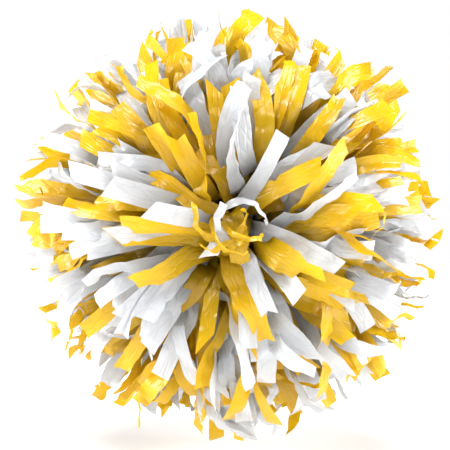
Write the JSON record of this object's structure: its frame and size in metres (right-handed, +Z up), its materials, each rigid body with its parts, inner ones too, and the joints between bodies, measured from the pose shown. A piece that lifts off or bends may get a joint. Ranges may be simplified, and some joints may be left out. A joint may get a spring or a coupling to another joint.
{
  "type": "cheer pom pom",
  "caption": "Round two-colour cheer pom pom: two heads of slit plastic film strips tied to the ends of a hidden baton handle.",
  "frame": {"origin": "middle of the baton, which is also the middle of the ball", "axes": "Y along the baton, the front head towards -Y; +Z up as the pom pom is held; X to the right seen from the front"},
  "size_m": [0.3188, 0.3374, 0.3186],
  "materials": {
    "film_yellow": "glossy thin film",
    "film_white": "glossy thin film",
    "baton": "satin",
    "spool": "satin",
    "cable_tie": "satin nylon"
  },
  "bodies": {
    "baton": {"baton_tube": "baton", "front_end_spool": "spool", "back_end_spool": "spool"},
    "front_collar": {"front_cable_tie": "cable_tie"},
    "front_head": {"front_film_1_yellow": "film_yellow", "front_film_2_white": "film_white", "front_film_3_yellow": "film_yellow", "front_film_4_white": "film_white", "front_film_5_yellow": "film_yellow", "front_film_6_white": "film_white", "front_film_7_yellow": "film_yellow", "front_film_8_white": "film_white"},
    "back_collar": {"back_cable_tie": "cable_tie"},
    "back_head": {"back_film_1_yellow": "film_yellow", "back_film_2_white": "film_white", "back_film_3_yellow": "film_yellow", "back_film_4_white": "film_white", "back_film_5_yellow": "film_yellow", "back_film_6_white": "film_white", "back_film_7_yellow": "film_yellow", "back_film_8_white": "film_white"}
  },
  "joints": [
    {"name": "front_nod", "type": "hinge", "parent": "baton", "child": "front_collar", "pos_m": [0, -0.0635, 0], "axis": [1, 0, 0], "range_deg": [-4, 4], "stiffness_Nm_per_rad": 1.2},
    {"name": "front_sway", "type": "hinge", "parent": "front_collar", "child": "front_head", "pos_m": [0, -0.0635, 0], "axis": [0, 0, 1], "range_deg": [-4, 4], "stiffness_Nm_per_rad": 1.2},
    {"name": "back_nod", "type": "hinge", "parent": "baton", "child": "back_collar", "pos_m": [0, 0.0635, 0], "axis": [1, 0, 0], "range_deg": [-4, 4], "stiffness_Nm_per_rad": 1.2},
    {"name": "back_sway", "type": "hinge", "parent": "back_collar", "child": "back_head", "pos_m": [0, 0.0635, 0], "axis": [0, 0, 1], "range_deg": [-4, 4], "stiffness_Nm_per_rad": 1.2}
  ]
}
